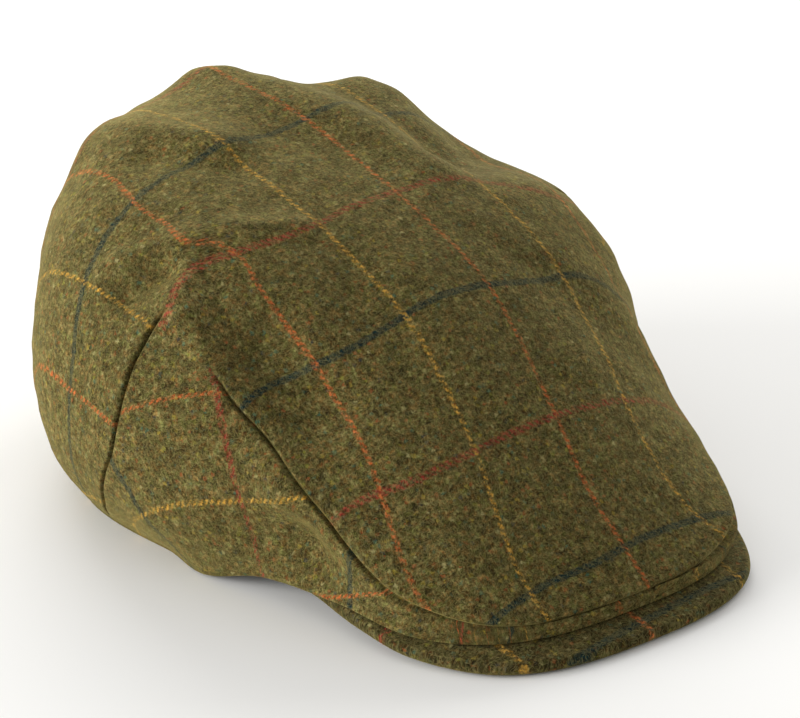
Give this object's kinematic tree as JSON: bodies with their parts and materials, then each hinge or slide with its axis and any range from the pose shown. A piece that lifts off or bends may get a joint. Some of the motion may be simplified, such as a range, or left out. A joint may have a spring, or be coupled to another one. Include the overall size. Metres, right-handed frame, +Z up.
{
  "type": "tweed flat cap",
  "caption": "Flat cap of checked tweed: a soft hollow crown, open below for the head, sewn down over a short stiff peak.",
  "frame": {"origin": "middle of the cap's footprint, on the surface that it rests on", "axes": "-Y to the front of the cap, where the peak is, +X to the wearer's left, +Z up"},
  "size_m": [0.2056, 0.2665, 0.1184],
  "materials": {
    "crown_tweed": "matt woven wool",
    "peak_tweed": "matt woven wool"
  },
  "bodies": {
    "root": {"crown": "crown_tweed", "peak": "peak_tweed"}
  },
  "joints": []
}
